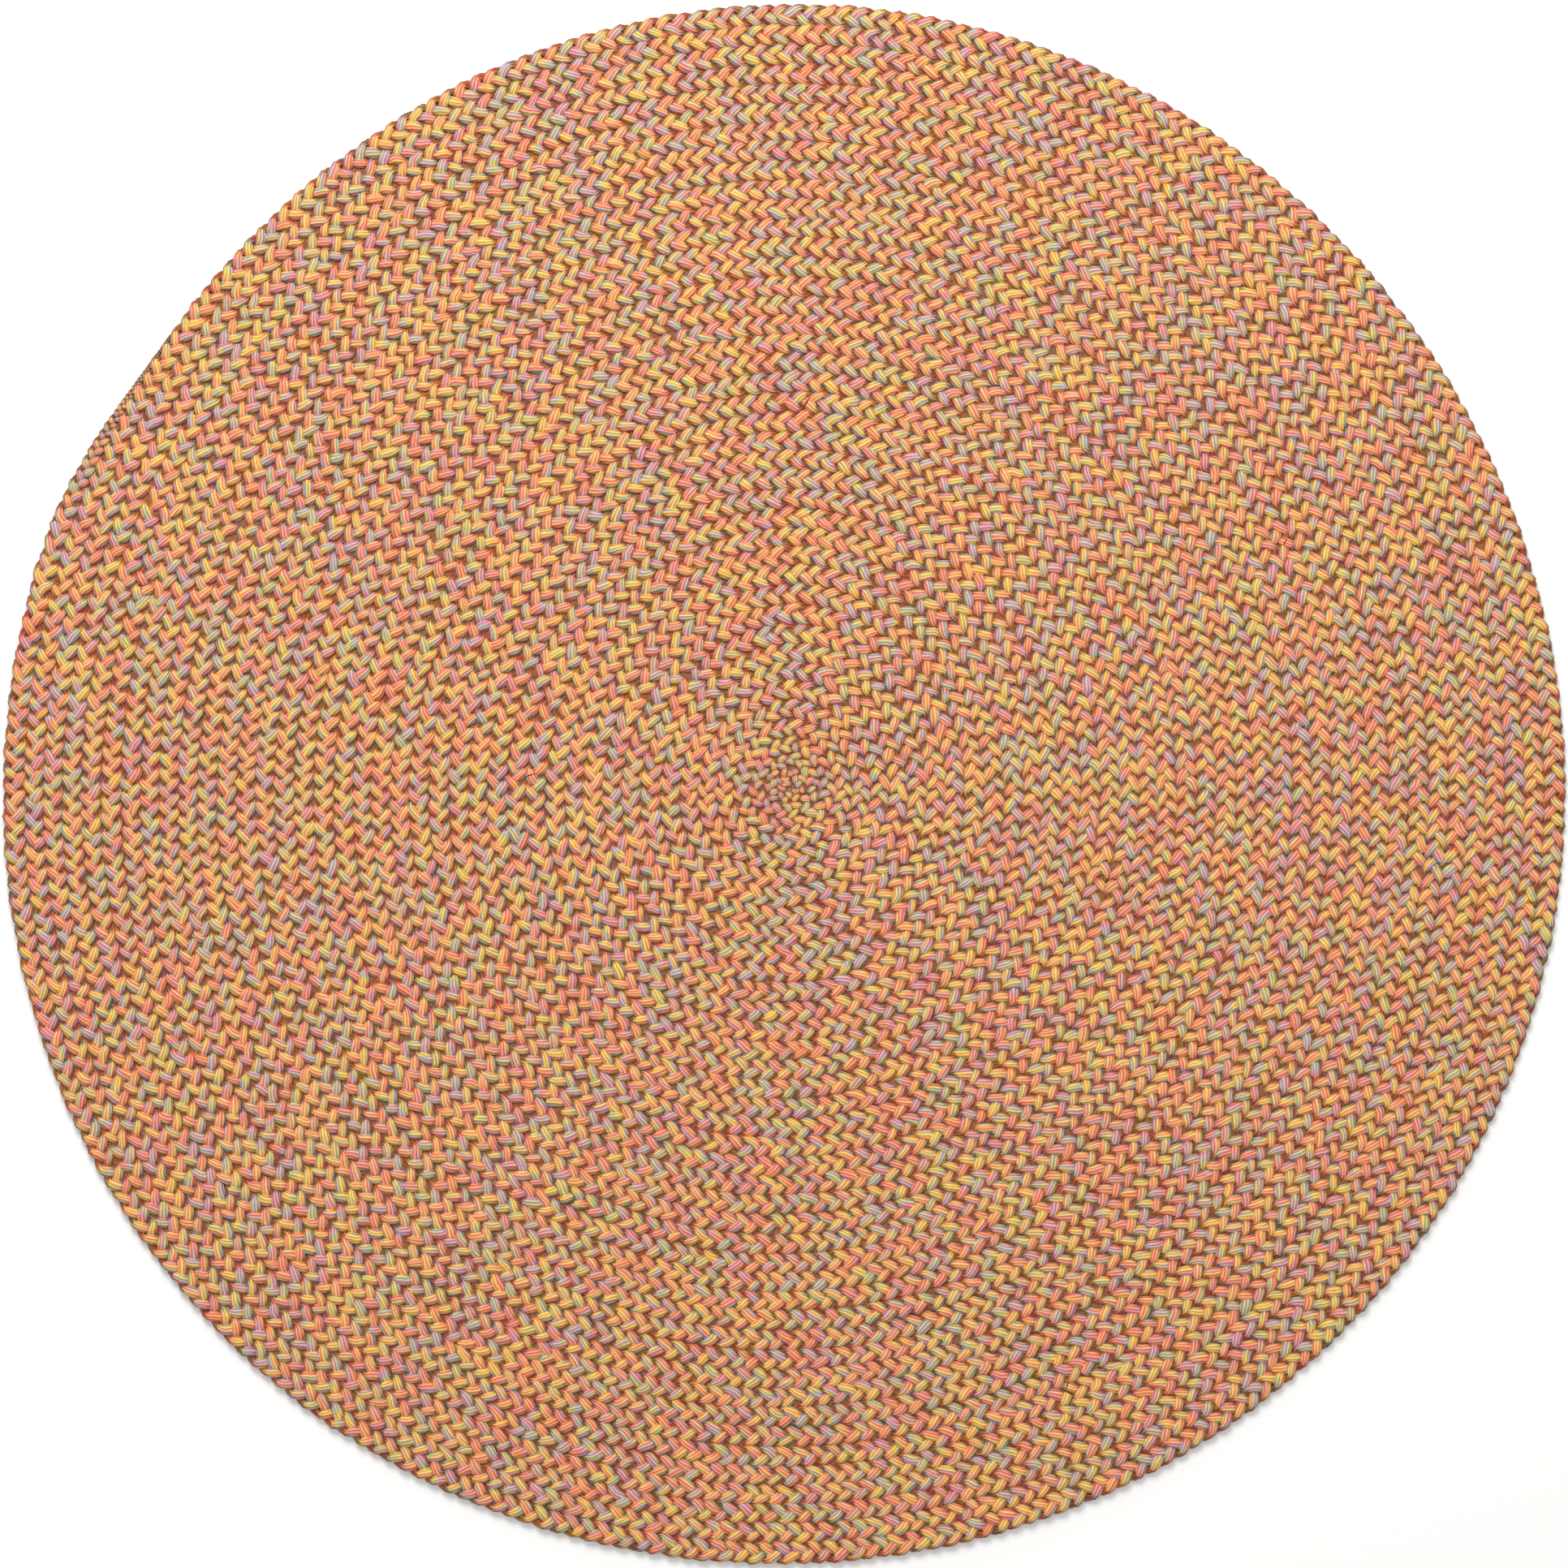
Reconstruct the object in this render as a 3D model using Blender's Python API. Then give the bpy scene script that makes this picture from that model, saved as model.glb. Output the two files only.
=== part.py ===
"""Round braided rug: one long flat plait coiled outwards from the middle and sewn edge to edge.

The rug is one piece of cloth, so it is one flat solid, lying flat with its underside on the floor.
Its edge follows the coil: the last turn of braid starts from nothing and swells to full width, so
the rug's radius steps by one row there. Metres, +Z up; the origin is the middle of the underside.
"""

import math

import bpy

# Driving dimensions
MEAN_RADIUS = 0.9156       # a six foot rug
THICKNESS = 0.012          # the plait pressed flat
ROW_WIDTH = 0.0227         # one turn of the braid
RIM_ROUNDING = 0.0045      # how far the rolled edge of the outer row is rounded, top and bottom

# Where the braid runs out, counter-clockwise from +X, and the length over which it narrows
TAIL_ANGLE = math.radians(144)
TAIL_TAPER = math.radians(18)

# Slow waves that hand sewing leaves in the edge: waves round the rug, height, angle of a crest
EDGE_WAVES = (
    (2, 0.0035, math.radians(63)),
    (3, 0.0045, math.radians(93)),
)

EDGE_POINTS = 240
ROUNDING_STEPS = 2

# Colour and finish of the mixed cotton and wool yarn
YARN_COLOUR = (0.53, 0.27, 0.15, 1.0)
YARN_ROUGHNESS = 0.95

OBJECT_NAME = "braided_rug"


def clear_scene():
    for item in list(bpy.data.objects):
        bpy.data.objects.remove(item, do_unlink=True)


def yarn_material():
    material = bpy.data.materials.new("mixed_yarn")
    material.use_nodes = True
    shader = material.node_tree.nodes["Principled BSDF"]
    shader.inputs["Base Color"].default_value = YARN_COLOUR
    shader.inputs["Roughness"].default_value = YARN_ROUGHNESS
    shader.inputs["Metallic"].default_value = 0.0
    return material


def smooth_step(value):
    value = min(max(value, 0.0), 1.0)
    return value * value * (3.0 - 2.0 * value)


def edge_radius(angle):
    """Radius of the rug at an angle: one turn of the coil, its tail, and the waves of the sewing."""
    past_tail = (angle - TAIL_ANGLE) % (2.0 * math.pi)
    coil = ROW_WIDTH * (0.5 - past_tail / (2.0 * math.pi))
    tail = ROW_WIDTH * (1.0 - smooth_step(past_tail / TAIL_TAPER))
    waves = sum(height * math.cos(count * (angle - crest)) for count, height, crest in EDGE_WAVES)
    return MEAN_RADIUS + coil - tail + waves


def edge_points():
    points = []
    for step in range(EDGE_POINTS):
        angle = 2.0 * math.pi * step / EDGE_POINTS
        radius = edge_radius(angle) - RIM_ROUNDING
        points.append((radius * math.cos(angle), radius * math.sin(angle)))
    return points


def centred(points):
    """Move the outline so that the middle of its box is the origin."""
    middle = [(min(p[axis] for p in points) + max(p[axis] for p in points)) / 2.0 for axis in (0, 1)]
    return [(x - middle[0], y - middle[1]) for x, y in points]


def rug_solid(collection):
    """The edge as a flat filled curve, half its thickness up, with the rounding as its bevel."""
    outline = bpy.data.curves.new(OBJECT_NAME, "CURVE")
    outline.dimensions = "2D"
    outline.fill_mode = "BOTH"
    outline.extrude = THICKNESS / 2.0 - RIM_ROUNDING
    outline.bevel_depth = RIM_ROUNDING
    outline.bevel_resolution = ROUNDING_STEPS
    points = centred(edge_points())
    spline = outline.splines.new("POLY")
    spline.points.add(len(points) - 1)
    for point, (x, y) in zip(spline.points, points):
        point.co = (x, y, 0.0, 1.0)
    spline.use_cyclic_u = True
    rug = bpy.data.objects.new(OBJECT_NAME, outline)
    rug.location.z = THICKNESS / 2.0
    collection.objects.link(rug)
    outline.materials.append(yarn_material())
    return rug


clear_scene()
rug_collection = bpy.data.collections.new(OBJECT_NAME)
bpy.context.scene.collection.children.link(rug_collection)
rug_solid(rug_collection)
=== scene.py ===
import math

import bpy
import numpy as np
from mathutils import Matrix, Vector


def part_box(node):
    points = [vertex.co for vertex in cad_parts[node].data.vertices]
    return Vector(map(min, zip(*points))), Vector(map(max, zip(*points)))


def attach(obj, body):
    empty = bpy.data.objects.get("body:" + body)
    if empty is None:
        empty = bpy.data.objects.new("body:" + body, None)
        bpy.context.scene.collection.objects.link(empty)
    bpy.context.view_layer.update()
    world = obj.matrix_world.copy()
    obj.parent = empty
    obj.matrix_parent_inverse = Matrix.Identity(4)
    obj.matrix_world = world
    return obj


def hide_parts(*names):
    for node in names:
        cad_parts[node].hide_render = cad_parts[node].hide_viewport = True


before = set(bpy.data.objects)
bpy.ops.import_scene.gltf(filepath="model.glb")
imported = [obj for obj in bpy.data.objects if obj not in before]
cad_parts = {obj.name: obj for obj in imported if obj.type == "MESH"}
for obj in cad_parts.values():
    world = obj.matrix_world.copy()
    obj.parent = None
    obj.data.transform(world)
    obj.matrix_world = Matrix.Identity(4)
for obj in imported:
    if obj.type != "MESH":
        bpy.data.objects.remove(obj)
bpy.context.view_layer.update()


# ---------------------------------------------------------------------------------------------
# The coil
# The rug is one flat plait, 116 m long, wound outwards from the middle, clockwise seen from
# above, and laced edge to edge. Here its middle line is laid out: about 42 turns, 22.7 mm apart.
# The first turns are wound small and tight, and the last one narrows to nothing at the rim.
# ---------------------------------------------------------------------------------------------
ROW_WIDTH = 0.0227
MEAN_RADIUS = 0.9156
TIGHT_LOSS = 1.35              # rows' widths lost altogether by the tight start
TIGHT_RATE = 0.31              # how soon the rows reach full width
TURNS = MEAN_RADIUS / ROW_WIDTH + TIGHT_LOSS
FIRST_TURN = 0.30
TAIL_ANGLE = math.radians(144)
TAIL_TURNS = 18 / 360
TAIL_TIP = 0.16                # width left at the tip, where the plait is tucked under
EDGE_WAVES = ((2, 0.0035, math.radians(63)), (3, 0.0045, math.radians(93)))    # waves, height, crest
EDGE_WAVE_TURNS = 6.0          # the rows are round in the middle, and follow the edge from here on
ROW_WOBBLES = ((5, 1.1, 0.0007), (11, -0.7, 0.0005), (23, 2.3, 0.0004))        # waves, lean, height
WOBBLE_TURNS, WOBBLE_AT_RIM = 4.0, 0.2     # the wobbles fade over the last rows, to this share
COIL_CENTRE = Vector((0.0050, 0.0012, 0.0))

COIL_SAMPLES = 60000

rug_low, rug_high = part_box("braided_rug")
THICKNESS = rug_high[2] - rug_low[2]


def tail_share(turns):
    """1 along the coil, falling smoothly to 0 over the tail."""
    left = np.clip((TURNS - turns) / TAIL_TURNS, 0.0, 1.0)
    return left * left * (3.0 - 2.0 * left)


def row_share(turns):
    """Width of the plait at a turn, as a share of a full row."""
    tight = 1.0 - TIGHT_LOSS * TIGHT_RATE / np.cosh(TIGHT_RATE * turns) ** 2
    return tight * (TAIL_TIP + (1.0 - TAIL_TIP) * tail_share(turns))


def coil_path(turns):
    """Middle line of the plait at an array of turns."""
    radius = ROW_WIDTH * (turns - TIGHT_LOSS * np.tanh(TIGHT_RATE * turns))
    radius -= ROW_WIDTH * (1.0 - tail_share(turns)) / 2.0
    angle = TAIL_ANGLE + 2.0 * math.pi * (TURNS - turns)
    outer = np.clip(turns / EDGE_WAVE_TURNS, 0.0, 1.0)
    for count, height, crest in EDGE_WAVES:
        radius += height * np.cos(count * (angle - crest)) * outer
    inner = np.clip((TURNS - turns) / WOBBLE_TURNS, WOBBLE_AT_RIM, 1.0)
    for count, lean, height in ROW_WOBBLES:
        radius += height * np.sin(count * angle + lean * turns) * inner
    path = np.stack([radius * np.cos(angle), radius * np.sin(angle), np.zeros_like(radius)], 1)
    return path + np.array(COIL_CENTRE)


# Length along the plait at each turn, in full-size rows: a narrow row has shorter lobes
fine_turns = np.linspace(FIRST_TURN, TURNS, COIL_SAMPLES)
fine_path = coil_path(fine_turns)
fine_steps = np.linalg.norm(np.diff(fine_path, axis=0), axis=1) / row_share(fine_turns[1:])
fine_lengths = np.concatenate([[0.0], np.cumsum(fine_steps)])


# ---------------------------------------------------------------------------------------------
# The strands
# Three strands of loosely bundled yarn cross over and under each other along the coil. A strand
# is 13 mm wide and 7 mm thick where it lies on the face of the plait, and smaller where it
# turns back at the edge, so each row shows two columns of plump, slanting lobes.
# ---------------------------------------------------------------------------------------------
PLAIT_PERIOD = 0.0580          # one strand's way from edge to edge and back
STEPS_PER_PERIOD = 16
STRAND_SIDES = 5
SWING = 0.0102                 # how far a strand's middle swings to each side
LIFT = 0.0026                  # how far it rises over the others and dips under them
OVERLAP = math.radians(-4)      # how much of the turn a strand spends still on the face
STRAIGHTER = 0.98              # 0 for a sine's swing, 1 for straight runs with sharp turns
CROWDING = 0.2                 # steps are closer on the face than on the underside
FLAT_WIDTH, FLAT_HEIGHT = 0.0064, 0.0035      # half sizes on the face
TURN_WIDTH, TURN_HEIGHT = 0.0048, 0.0026      # half sizes at the plait's edge
TURN_SHARPNESS = 6.0           # how close to the edge the strand takes on its turning size
PULL_NOISE, SWELL_NOISE = 42.0, 31.0          # uneven tension, in cycles to a metre
PULL = 1.1                     # how much it shifts the lobes along the plait, in radians
WANDER, BOUNCE = 0.0030, 0.0024               # how much it moves them sideways and up
SWELL = 0.55                   # how much it changes their size
STRAND_SEED = 7.3              # metres of noise between one strand's unevenness and the next's


def add(tree, kind, *values, out=0, **settings):
    """Add a node with its settings, fill or link its sockets in order, and return an output."""
    made = tree.nodes.new(kind)
    sockets = {}
    for name, value in settings.items():
        if name in made.bl_rna.properties:
            setattr(made, name, value)
        else:
            sockets[name.replace("_", " ")] = value
    for socket, value in [*enumerate(values), *sockets.items()]:
        if value is None:
            continue
        if isinstance(value, bpy.types.NodeSocket):
            tree.links.new(value, made.inputs[socket])
        else:
            made.inputs[socket].default_value = value
    return made.outputs[out]


def strand_tree():
    """Geometry nodes that lay one strand of the plait along the middle line."""
    tree = bpy.data.node_groups.new("plait_strand", "GeometryNodeTree")
    face = tree.interface
    face.new_socket("Geometry", in_out="OUTPUT", socket_type="NodeSocketGeometry")
    face.new_socket("Geometry", in_out="INPUT", socket_type="NodeSocketGeometry")
    for name in ("Strand", "Swing", "Lift", "Flat Width", "Flat Height", "Turn Width", "Turn Height"):
        face.new_socket(name, in_out="INPUT", socket_type="NodeSocketFloat")
    face.new_socket("Sides", in_out="INPUT", socket_type="NodeSocketInt")
    face.new_socket("Yarn", in_out="INPUT", socket_type="NodeSocketMaterial")
    given = {s.name: s for s in tree.nodes.new("NodeGroupInput").outputs}
    M, V = "ShaderNodeMath", "ShaderNodeVectorMath"

    share = add(tree, "GeometryNodeInputNamedAttribute", "share")
    length = add(tree, "GeometryNodeInputNamedAttribute", "length")
    turn = add(tree, "GeometryNodeInputNamedAttribute", "phase")
    place = add(tree, "GeometryNodeInputPosition")

    # Uneven tension: the pitch, the width and the height of the lobes all vary a little
    strand_seed = add(tree, M, given["Strand"], STRAND_SEED, operation="MULTIPLY")
    beat = add(tree, M, length, strand_seed, operation="ADD")
    pull = add(tree, "ShaderNodeTexNoise", None, beat, PULL_NOISE, 1.0, noise_dimensions="1D")
    swell = add(tree, "ShaderNodeTexNoise", None, beat, SWELL_NOISE, 1.0, noise_dimensions="1D", out=1)
    swell = add(tree, V, swell, (0.5, 0.5, 0.5), operation="SUBTRACT")
    parts = tree.nodes.new("ShaderNodeSeparateXYZ")
    tree.links.new(swell, parts.inputs[0])

    lag = add(tree, M, pull, 0.5, operation="SUBTRACT")
    lag = add(tree, M, lag, PULL, operation="MULTIPLY")
    own = add(tree, M, given["Strand"], 2.0 * math.pi / 3.0, operation="MULTIPLY")
    phase = add(tree, M, turn, own, operation="ADD")
    phase = add(tree, M, phase, lag, operation="ADD")

    # Side to side once, and up and down twice, in each period
    side = add(tree, M, phase, operation="SINE")
    side = add(tree, M, side, STRAIGHTER, operation="MULTIPLY")
    side = add(tree, M, side, operation="ARCSINE")
    side = add(tree, M, side, 1.0 / math.asin(STRAIGHTER), operation="MULTIPLY")
    double = add(tree, M, phase, 2.0, -OVERLAP, operation="MULTIPLY_ADD")
    rise = add(tree, M, double, operation="SINE")
    at_edge = add(tree, M, side, TURN_SHARPNESS, operation="POWER")

    sideways = add(tree, M, side, given["Swing"], operation="MULTIPLY")
    wander = add(tree, M, parts.outputs["X"], WANDER, operation="MULTIPLY")
    sideways = add(tree, M, sideways, wander, operation="ADD")
    sideways = add(tree, M, sideways, share, operation="MULTIPLY")
    upwards = add(tree, M, rise, given["Lift"], operation="MULTIPLY")
    bounce = add(tree, M, parts.outputs["Y"], BOUNCE, operation="MULTIPLY")
    upwards = add(tree, M, upwards, bounce, operation="ADD")

    path = add(tree, "GeometryNodeMeshToCurve", given["Geometry"])
    path = add(tree, "GeometryNodeSetCurveNormal", path, mode="Z_UP")
    across = add(tree, "GeometryNodeInputNormal")
    shift = add(tree, V, across, operation="SCALE", Scale=sideways)
    climb = add(tree, "ShaderNodeCombineXYZ", 0.0, 0.0, upwards)
    shift = add(tree, V, shift, climb, operation="ADD")
    path = add(tree, "GeometryNodeSetPosition", path, None, None, shift)

    # The strand's frame at each step, kept for the ring of points round it
    keep = tree.nodes.new("GeometryNodeCaptureAttribute")
    for kind, name in (("VECTOR", "centre"), ("VECTOR", "across"), ("VECTOR", "along"), ("FLOAT", "edge"),
                       ("FLOAT", "swell"), ("FLOAT", "rise")):
        keep.capture_items.new(kind, name)
    tree.links.new(path, keep.inputs["Geometry"])
    tree.links.new(place, keep.inputs["centre"])
    tree.links.new(across, keep.inputs["across"])
    tree.links.new(add(tree, "GeometryNodeInputTangent"), keep.inputs["along"])
    tree.links.new(at_edge, keep.inputs["edge"])
    tree.links.new(parts.outputs["Z"], keep.inputs["swell"])
    tree.links.new(rise, keep.inputs["rise"])

    ring = add(tree, "GeometryNodeCurvePrimitiveCircle", given["Sides"], Radius=1.0)
    ring_keep = tree.nodes.new("GeometryNodeCaptureAttribute")
    ring_keep.capture_items.new("FLOAT", "number")
    tree.links.new(ring, ring_keep.inputs["Geometry"])
    tree.links.new(add(tree, "GeometryNodeInputIndex"), ring_keep.inputs["number"])
    number = ring_keep.outputs["number"]
    tube = add(tree, "GeometryNodeCurveToMesh", keep.outputs["Geometry"], ring_keep.outputs["Geometry"],
               Fill_Caps=True)

    # Four of the ring's five points lie over whichever side of the strand faces outwards
    over = add(tree, M, number, 3.0, operation="SUBTRACT")
    over = add(tree, M, over, 0.0, operation="MAXIMUM")
    under = add(tree, M, number, 2.0, operation="MINIMUM")
    facing = add(tree, M, keep.outputs["rise"], -0.5, 0.5, operation="MULTIPLY_ADD")
    spread = add(tree, "ShaderNodeMix", facing, None, over, under)
    spread = add(tree, M, spread, 0.5, operation="MULTIPLY")
    around = add(tree, M, number, spread, operation="ADD")
    around = add(tree, M, around, 1.0 / 6.0, operation="MULTIPLY")
    tube = add(tree, "GeometryNodeStoreNamedAttribute", tube, None, "around", around, data_type="FLOAT")
    turned = add(tree, M, around, 2.0 * math.pi, operation="MULTIPLY")
    outwards = add(tree, M, turned, operation="COSINE")
    upright = add(tree, M, turned, operation="SINE")
    grow = add(tree, M, keep.outputs["swell"], SWELL, operation="MULTIPLY")
    grow = add(tree, M, grow, 1.0, operation="ADD")
    grow = add(tree, M, grow, share, operation="MULTIPLY")
    wide = add(tree, "ShaderNodeMix", keep.outputs["edge"], None, given["Flat Width"], given["Turn Width"])
    high = add(tree, "ShaderNodeMix", keep.outputs["edge"], None, given["Flat Height"], given["Turn Height"])
    wide = add(tree, M, wide, grow, operation="MULTIPLY")
    high = add(tree, M, high, grow, operation="MULTIPLY")
    wide = add(tree, M, wide, outwards, operation="MULTIPLY")
    high = add(tree, M, high, upright, operation="MULTIPLY")
    up = add(tree, V, keep.outputs["along"], keep.outputs["across"], operation="CROSS_PRODUCT")
    wide = add(tree, V, keep.outputs["across"], operation="SCALE", Scale=wide)
    high = add(tree, V, up, operation="SCALE", Scale=high)
    point = add(tree, V, keep.outputs["centre"], wide, operation="ADD")
    point = add(tree, V, point, high, operation="ADD")

    # The underside is pressed flat where it lies on the floor
    spot = tree.nodes.new("ShaderNodeSeparateXYZ")
    tree.links.new(point, spot.inputs[0])
    pressed = add(tree, M, spot.outputs["Z"], 0.0, operation="MAXIMUM")
    point = add(tree, "ShaderNodeCombineXYZ", spot.outputs["X"], spot.outputs["Y"], pressed)
    tube = add(tree, "GeometryNodeSetPosition", tube, None, point)
    tube = add(tree, "GeometryNodeSetShadeSmooth", tube)
    tube = add(tree, "GeometryNodeRealizeInstances", tube)
    tube = add(tree, "GeometryNodeSetMaterial", tube, Material=given["Yarn"])
    tree.links.new(tube, tree.nodes.new("NodeGroupOutput").inputs[0])
    return tree


def to_linear(code):
    """Turn an sRGB hex colour into the linear one that a shader takes."""
    parts = [int(code[start:start + 2], 16) / 255 for start in (1, 3, 5)]
    return tuple(c / 12.92 if c <= 0.04045 else ((c + 0.055) / 1.055) ** 2.4 for c in parts) + (1.0,)


# Spun cotton and wool yarn, about 4 mm thick, seven round a strand. It is dyed in bands along its
# length, so the colour runs from one to the next every few centimetres, differently in each yarn.
# The fibre is matt and a little hairy, which lightens it where it is seen at a low angle.
YARNS = 7
STRAND_TWIST = 2.2             # turns of the bundle in a metre of strand
DYE_RUN = 0.045                # length over which a yarn's dye changes
YARN_SPREAD, STRAND_SPREAD = 2.4, 3.0      # how far dyes differ between yarns, and along a strand
STRAND_DYE_NOISE = 11.0        # changes of the whole strand's colour, in cycles to a metre
PLY_TURN, PLY_LEAN = 0.0052, 2.6           # the yarn's own twist, coarser than life so that it shows
WANDER_NOISE, YARN_WANDER = 55.0, 0.12     # yarns wander: cycles to a metre, share of a turn
HAIRS_ALONG, HAIRS_ACROSS = 900.0, 5.0     # hairs in cycles to a metre, and to a yarn
BACK_HEIGHT, PLY_HEIGHT, HAIR_HEIGHT = 0.0005, 0.00006, 0.0003
CREST_HIGHLIGHT_SHARE = 0.55           # how far the painted highlight covers the dye on a yarn's back, where the hair noise lets it
SHADE_BETWEEN_YARNS = 0.62           # painted shade between two yarns: how dark it is there, against a yarn's back
# The first colour is a painted highlight for the yarns' crests, the second is the painted shade of the
# hollows
CREST_HIGHLIGHT_COLOUR, HOLLOW_SHADE_COLOUR = "#fbdcae", "#a87c58"
HOLLOW_SHADE_LOW, HOLLOW_SHADE_HIGH = 0.0066, 0.0104   # heights between which the painted shade of the hollows fades out
DYES = (
    (0.00, "#ee8544"), (0.09, "#ea7550"), (0.17, "#dd7468"), (0.25, "#d6748a"), (0.33, "#b98a9e"),
    (0.41, "#aea3aa"), (0.48, "#a0a48c"), (0.55, "#b0ad62"), (0.63, "#dcbf5c"), (0.71, "#efb540"),
    (0.80, "#ec9b38"), (0.87, "#e6a680"), (0.94, "#ec8d58"),
)


def yarn_material(strand):
    """Space-dyed yarn lying side by side along a strand."""
    material = bpy.data.materials.new(f"spun_yarn_{strand}")
    material.use_nodes = True
    tree = material.node_tree
    tree.nodes.clear()
    M = "ShaderNodeMath"
    lay = tree.nodes.new("ShaderNodeSeparateXYZ")
    tree.links.new(add(tree, "ShaderNodeUVMap", uv_map="lay"), lay.inputs[0])
    along, around = lay.outputs["X"], lay.outputs["Y"]

    # Where round the strand, in yarns, after its slow twist
    wander = add(tree, "ShaderNodeTexNoise", None, along, WANDER_NOISE, 1.0, noise_dimensions="1D")
    turned = add(tree, M, along, STRAND_TWIST, around, operation="MULTIPLY_ADD")
    turned = add(tree, M, wander, YARN_WANDER, turned, operation="MULTIPLY_ADD")
    across = add(tree, M, turned, float(YARNS), operation="MULTIPLY")
    inside = add(tree, M, across, operation="FRACT")
    angle = add(tree, M, turned, 2.0 * math.pi, operation="MULTIPLY")
    girth = YARNS / (2.0 * math.pi)
    place_x = add(tree, M, add(tree, M, angle, operation="COSINE"), girth, operation="MULTIPLY")
    place_y = add(tree, M, add(tree, M, angle, operation="SINE"), girth, operation="MULTIPLY")

    # The dye's place in its sequence: every yarn its own, on top of what the whole strand does
    spot = add(tree, "ShaderNodeCombineXYZ", place_x, place_y,
               add(tree, M, along, 1.0 / DYE_RUN, 31.0 * strand, operation="MULTIPLY_ADD"))
    yarn_dye = add(tree, "ShaderNodeTexNoise", spot, None, 0.5, 1.0)
    strand_dye = add(tree, "ShaderNodeTexNoise", None,
                     add(tree, M, along, 1.0, 17.0 * strand, operation="MULTIPLY_ADD"), STRAND_DYE_NOISE, 2.0,
                     noise_dimensions="1D")
    place = add(tree, M, yarn_dye, YARN_SPREAD, operation="MULTIPLY")
    place = add(tree, M, strand_dye, STRAND_SPREAD, place, operation="MULTIPLY_ADD")
    place = add(tree, M, place, operation="FRACT")
    ramp = tree.nodes.new("ShaderNodeValToRGB")
    ramp.color_ramp.elements.remove(ramp.color_ramp.elements[1])
    for index, (position, colour) in enumerate(DYES):
        stop = ramp.color_ramp.elements[0] if index == 0 else ramp.color_ramp.elements.new(position)
        stop.position, stop.color = position, to_linear(colour)
    last = ramp.color_ramp.elements.new(1.0)
    last.color = to_linear(DYES[0][1])
    tree.links.new(place, ramp.inputs[0])

    # The yarn's round back, its ply and its hairs, as heights in metres
    offset = add(tree, M, inside, 2.0, -1.0, operation="MULTIPLY_ADD")
    back = add(tree, M, offset, offset, operation="MULTIPLY")
    back = add(tree, M, 1.0, back, operation="SUBTRACT")
    lean = add(tree, M, along, 2.0 * math.pi / PLY_TURN, operation="MULTIPLY")
    ply = add(tree, M, offset, PLY_LEAN, lean, operation="MULTIPLY_ADD")
    ply = add(tree, M, ply, operation="SINE")
    hairs = add(tree, "ShaderNodeCombineXYZ", add(tree, M, along, HAIRS_ALONG, operation="MULTIPLY"),
                add(tree, M, across, HAIRS_ACROSS, operation="MULTIPLY"), float(strand))
    hairs = add(tree, "ShaderNodeTexNoise", hairs, None, 1.0, 3.0)
    height = add(tree, M, back, BACK_HEIGHT, operation="MULTIPLY")
    height = add(tree, M, ply, PLY_HEIGHT, height, operation="MULTIPLY_ADD")
    height = add(tree, M, hairs, HAIR_HEIGHT, height, operation="MULTIPLY_ADD")
    bump = add(tree, "ShaderNodeBump", Strength=1.0, Distance=1.0, Height=height)

    # Painted highlight: pale cream laid along each yarn's back, broken up by the hair noise. Painted shade:
    # darker between the yarns
    crest = add(tree, M, back, 3.0, operation="POWER")
    crest_highlight_cover = add(tree, M, hairs, CREST_HIGHLIGHT_SHARE, operation="MULTIPLY")
    crest = add(tree, M, crest, crest_highlight_cover, operation="MULTIPLY")
    pale = add(tree, "ShaderNodeMix", crest, None, None, None, None, None, ramp.outputs[0],
               to_linear(CREST_HIGHLIGHT_COLOUR), out=2, data_type="RGBA")
    # Painted shade between the yarns, multiplied into the hairs' own random tone
    yarn_gap_shade = add(tree, M, back, 0.45, SHADE_BETWEEN_YARNS, operation="MULTIPLY_ADD")
    hair_tone_and_gap_shade = add(tree, M, hairs, 0.5, 0.75, operation="MULTIPLY_ADD")
    hair_tone_and_gap_shade = add(tree, M, hair_tone_and_gap_shade, yarn_gap_shade, operation="MULTIPLY")
    colour = add(tree, "ShaderNodeMix", 1.0, None, None, None, None, None, pale, hair_tone_and_gap_shade, out=2,
                 data_type="RGBA", blend_type="MULTIPLY")

    # Painted shade: low down in the hollows the yarn's colour is darkened and browned by height, for the
    # shade there
    where = tree.nodes.new("ShaderNodeSeparateXYZ")
    tree.links.new(add(tree, "ShaderNodeTexCoord", out=3), where.inputs[0])
    deep = tree.nodes.new("ShaderNodeMapRange")
    deep.interpolation_type = "SMOOTHSTEP"
    for socket, value in (("From Min", HOLLOW_SHADE_LOW), ("From Max", HOLLOW_SHADE_HIGH)):
        deep.inputs[socket].default_value = value
    tree.links.new(where.outputs["Z"], deep.inputs["Value"])
    shade = add(tree, "ShaderNodeMix", deep.outputs[0], None, None, None, None, None,
                to_linear(HOLLOW_SHADE_COLOUR), (1.0, 1.0, 1.0, 1.0), out=2, data_type="RGBA")
    colour = add(tree, "ShaderNodeMix", 1.0, None, None, None, None, None, colour, shade, out=2,
                 data_type="RGBA", blend_type="MULTIPLY")

    shader = tree.nodes.new("ShaderNodeBsdfPrincipled")
    shader.inputs["Roughness"].default_value = 0.92
    shader.inputs["Specular IOR Level"].default_value = 0.2
    shader.inputs["Sheen Weight"].default_value = 0.25
    shader.inputs["Sheen Roughness"].default_value = 0.5
    tree.links.new(colour, shader.inputs["Base Color"])
    tree.links.new(bump, shader.inputs["Normal"])
    tree.links.new(shader.outputs[0], tree.nodes.new("ShaderNodeOutputMaterial").inputs[0])
    return material


PATH_EXCESS = 1.15             # a strand's own length, against the plait's
STRAND_GIRTH = 0.028
STRIP_MARGIN = 0.04            # kept clear between two strips, as a share of a strip
EDGE_MARGIN = 0.002            # kept clear at the map's sides


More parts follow.
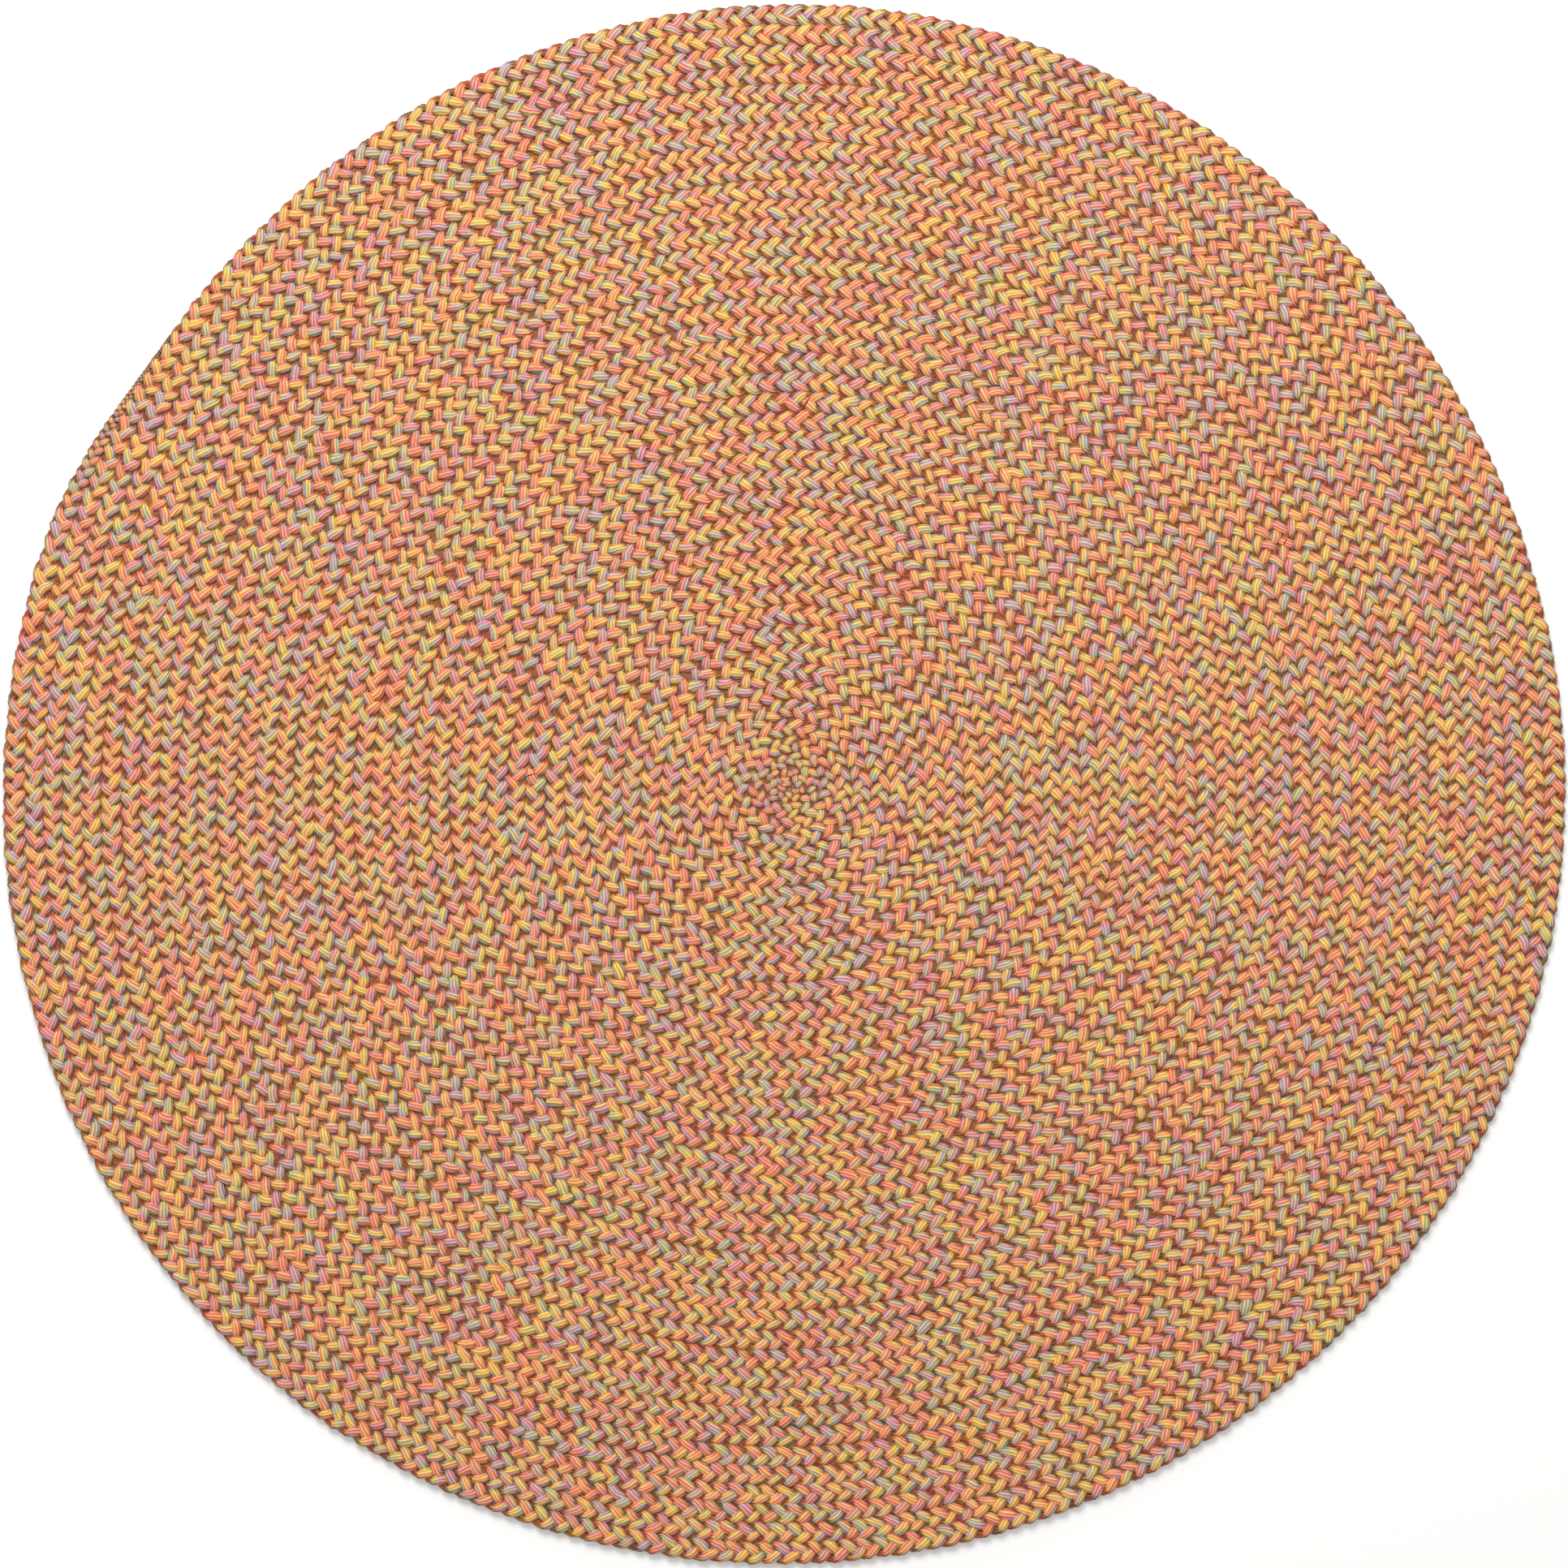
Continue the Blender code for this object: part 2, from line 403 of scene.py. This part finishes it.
def lay_uvs(mesh):
    """Give a strand its two maps: 'lay' runs in metres along it and once round it, and 'OFBake'
    stacks it in strips that fill a square."""
    loops = np.empty(len(mesh.loops), int)
    mesh.loops.foreach_get("vertex_index", loops)
    totals = np.empty(len(mesh.polygons), int)
    mesh.polygons.foreach_get("loop_total", totals)
    length = np.empty(len(mesh.vertices))
    mesh.attributes["length"].data.foreach_get("value", length)
    turned = np.empty(len(mesh.vertices))
    mesh.attributes["around"].data.foreach_get("value", turned)
    around = turned[loops]
    starts = np.cumsum(totals) - totals
    highest = np.maximum.reduceat(around, starts)
    wraps = np.repeat((highest > 0.7) & (totals == 4), totals)
    around[wraps & (around < 0.01)] = 1.0
    along = length[loops]
    lay = mesh.uv_layers.new(name="lay")
    lay.data.foreach_set("uv", np.stack([along, around], 1).ravel())

    rings = np.empty(len(mesh.vertices))
    mesh.attributes["ring"].data.foreach_get("value", rings)
    ring = np.round(rings[loops])
    face_ring = np.repeat(np.minimum.reduceat(ring, starts), totals)
    strips = max(1, round(math.sqrt((along.max() - along.min()) * PATH_EXCESS / STRAND_GIRTH)))
    per_strip = math.ceil((ring.max() + 1) / strips)
    strip = face_ring // per_strip
    u = (ring - strip * per_strip) / per_strip
    v = (strip + STRIP_MARGIN + (1.0 - 2.0 * STRIP_MARGIN) * around) / strips
    bake = mesh.uv_layers.new(name="OFBake")
    bake.data.foreach_set("uv", np.stack([EDGE_MARGIN + (1.0 - 2.0 * EDGE_MARGIN) * u, v], 1).ravel())
    mesh.uv_layers.active = lay
    lay.active_render = True


def strand_piece(tree, strand, lengths, number, yarn):
    """One spliced length of a strand, from the nodes, as a plain mesh."""
    step = PLAIT_PERIOD / STEPS_PER_PERIOD
    count = np.arange(round(lengths[0] / step), round(lengths[1] / step) + 1)
    beat = 2.0 * math.pi * (count / STEPS_PER_PERIOD + strand / 3.0)
    length = count * step + CROWDING * np.cos(2.0 * beat - OVERLAP) * PLAIT_PERIOD / (2.0 * math.pi)
    length = np.clip(length, *lengths)
    turns = np.interp(length, fine_lengths, fine_turns)
    path, share = coil_path(turns), row_share(turns)
    path[:, 2] += THICKNESS / 2.0
    line = bpy.data.meshes.new("middle_line")
    line.vertices.add(len(path))
    line.vertices.foreach_set("co", path.ravel())
    line.edges.add(len(path) - 1)
    ends = np.stack([np.arange(len(path) - 1), np.arange(1, len(path))], 1)
    line.edges.foreach_set("vertices", ends.ravel())
    phase = 2.0 * math.pi * (length / PLAIT_PERIOD % 1.0)
    for name, values in (("share", share), ("length", length), ("phase", phase),
                         ("ring", count - count[0])):
        line.attributes.new(name, "FLOAT", "POINT").data.foreach_set("value", values.astype(np.float32))
    holder = bpy.data.objects.new("middle_line", line)
    bpy.context.scene.collection.objects.link(holder)
    nodes = holder.modifiers.new("plait", "NODES")
    nodes.node_group = tree
    sizes = {"Strand": float(strand), "Swing": SWING, "Lift": LIFT, "Flat Width": FLAT_WIDTH,
             "Flat Height": FLAT_HEIGHT, "Turn Width": TURN_WIDTH, "Turn Height": TURN_HEIGHT,
             "Sides": STRAND_SIDES, "Yarn": yarn}
    for item in tree.interface.items_tree:
        if item.name in sizes:
            nodes[item.identifier] = sizes[item.name]
    bpy.context.view_layer.update()
    evaluated = holder.evaluated_get(bpy.context.evaluated_depsgraph_get())
    mesh = bpy.data.meshes.new_from_object(evaluated)
    bpy.data.objects.remove(holder)
    lay_uvs(mesh)
    piece = bpy.data.objects.new(f"strand_{strand + 1}_length_{number + 1}", mesh)
    mesh.name = piece.name
    bpy.context.scene.collection.objects.link(piece)
    return piece


SPLICES = (0.35, 0.5, 0.72, 0.87, 1.0)     # where each length ends, as a share of the rug's radius
splice_lengths = [0.0] + [float(np.interp(TURNS * share, fine_turns, fine_lengths)) for share in SPLICES]
plait_tree = strand_tree()
strands = []
for strand in range(3):
    yarn = yarn_material(strand)
    for number, ends in enumerate(zip(splice_lengths, splice_lengths[1:])):
        strands.append(strand_piece(plait_tree, strand, ends, number, yarn))
for piece in strands:
    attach(piece, "root")


# ---------------------------------------------------------------------------------------------
# The laced ground
# The lacing yarn runs to and fro between the rows and closes them to one flat cloth. It shows at
# the bottom of the gaps between the lobes, on both faces: a thin sheet with the coil's seams. Its
# dark brown is painted shade for the depth of those gaps, over the lacing and the packed yarn.
# ---------------------------------------------------------------------------------------------
GROUND_LOW, GROUND_HIGH, SEAM_DEPTH = 0.0052, 0.0066, 0.0003
GROUND_INSET = 0.35            # how far inside the outer row's rim it ends, in rows
GROUND_EDGE = 0.0004           # half its thickness at the rim
GROUND_SECTORS, GROUND_RINGS = 120, 41

sheet_mesh = bpy.data.meshes.new("laced_ground")
verts, faces = [], []
middle = (GROUND_HIGH + GROUND_LOW) / 2.0
for top in (True, False):
    verts.append((*COIL_CENTRE[:2], GROUND_HIGH if top else GROUND_LOW))
    for ring in range(1, GROUND_RINGS + 1):
        for sector in range(GROUND_SECTORS):
            angle = 2.0 * math.pi * sector / GROUND_SECTORS
            past = (angle - TAIL_ANGLE) % (2.0 * math.pi) / (2.0 * math.pi)
            step = 1.0 - float(tail_share(TURNS - past))
            rim = MEAN_RADIUS + ROW_WIDTH * (0.5 - past - step - GROUND_INSET)
            rim += sum(height * math.cos(count * (angle - crest)) for count, height, crest in EDGE_WAVES)
            radius = rim * ring / GROUND_RINGS
            seam = abs(((radius / ROW_WIDTH + past) % 1.0) - 0.5) * 2.0
            depth = SEAM_DEPTH * (1.0 - seam)
            z = GROUND_HIGH - depth if top else GROUND_LOW + depth
            if ring == GROUND_RINGS:
                z = middle + (GROUND_EDGE if top else -GROUND_EDGE)
            verts.append((radius * math.cos(angle) + COIL_CENTRE[0],
                          radius * math.sin(angle) + COIL_CENTRE[1], z))
size = 1 + GROUND_RINGS * GROUND_SECTORS
for top in (True, False):
    base = 0 if top else size
    for sector in range(GROUND_SECTORS):
        after = (sector + 1) % GROUND_SECTORS
        fan = (base, base + 1 + sector, base + 1 + after)
        faces.append(fan if top else fan[::-1])
        for ring in range(1, GROUND_RINGS):
            a = base + 1 + (ring - 1) * GROUND_SECTORS
            b = a + GROUND_SECTORS
            quad = (a + sector, b + sector, b + after, a + after)
            faces.append(quad if top else quad[::-1])
rim_top = 1 + (GROUND_RINGS - 1) * GROUND_SECTORS
for sector in range(GROUND_SECTORS):
    after = (sector + 1) % GROUND_SECTORS
    faces.append((rim_top + sector, size + rim_top + sector, size + rim_top + after, rim_top + after))
sheet_mesh.from_pydata(verts, [], faces)
ground = bpy.data.objects.new("laced_ground", sheet_mesh)
bpy.context.scene.collection.objects.link(ground)
for polygon in sheet_mesh.polygons:
    polygon.use_smooth = True

ground_shade_yarn = bpy.data.materials.new("packed_yarn_painted_shade")
ground_shade_yarn.use_nodes = True
shader = ground_shade_yarn.node_tree.nodes["Principled BSDF"]
# Painted shade: a darker brown than the yarns, for the shade deep in the gaps
shader.inputs["Base Color"].default_value = to_linear("#8c5a3c")
shader.inputs["Roughness"].default_value = 0.95
sheet_mesh.materials.append(ground_shade_yarn)

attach(ground, "root")
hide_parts("braided_rug")


# ---------------------------------------------------------------------------------------------
# Floor, light and camera
# A pale matt floor, an even white sky and one large soft lamp beyond the far rim, with the camera
# straight above the middle of the rug.
# ---------------------------------------------------------------------------------------------
FLOOR_SIZE, FLOOR_DROP = 14.0, 0.0005
KEY_PLACE, KEY_SIZE, KEY_POWER = (-0.5, 3.4, 3.6), 2.2, 195.0
SKY_STRENGTH = 0.75
LENS = 85.0
FRAME_WIDTH = 1.848            # what the camera takes in at the floor

bpy.ops.mesh.primitive_plane_add(size=FLOOR_SIZE, location=(0.0, 0.0, -FLOOR_DROP))
floor = bpy.context.object
floor.name = "floor"
paint = bpy.data.materials.new("pale_floor")
paint.use_nodes = True
paint.node_tree.nodes["Principled BSDF"].inputs["Base Color"].default_value = to_linear("#f4f3f1")
paint.node_tree.nodes["Principled BSDF"].inputs["Roughness"].default_value = 0.9
floor.data.materials.append(paint)

world = bpy.data.worlds.new("studio")
world.use_nodes = True
world.node_tree.nodes["Background"].inputs[0].default_value = (1.0, 1.0, 1.0, 1.0)
world.node_tree.nodes["Background"].inputs[1].default_value = SKY_STRENGTH
bpy.context.scene.world = world

key = bpy.data.lights.new("key", "AREA")
key.size, key.energy = KEY_SIZE, KEY_POWER
key_object = bpy.data.objects.new("key", key)
key_object.location = KEY_PLACE
key_object.rotation_euler = (-Vector(KEY_PLACE)).to_track_quat("-Z", "Y").to_euler()
bpy.context.scene.collection.objects.link(key_object)

bpy.context.scene.view_settings.view_transform = "Standard"

camera = bpy.data.cameras.new("camera")
camera.lens = LENS
camera_object = bpy.data.objects.new("camera", camera)
camera_object.location = (0.0, 0.0, FRAME_WIDTH * LENS / camera.sensor_width)
bpy.context.scene.collection.objects.link(camera_object)
bpy.context.scene.camera = camera_object
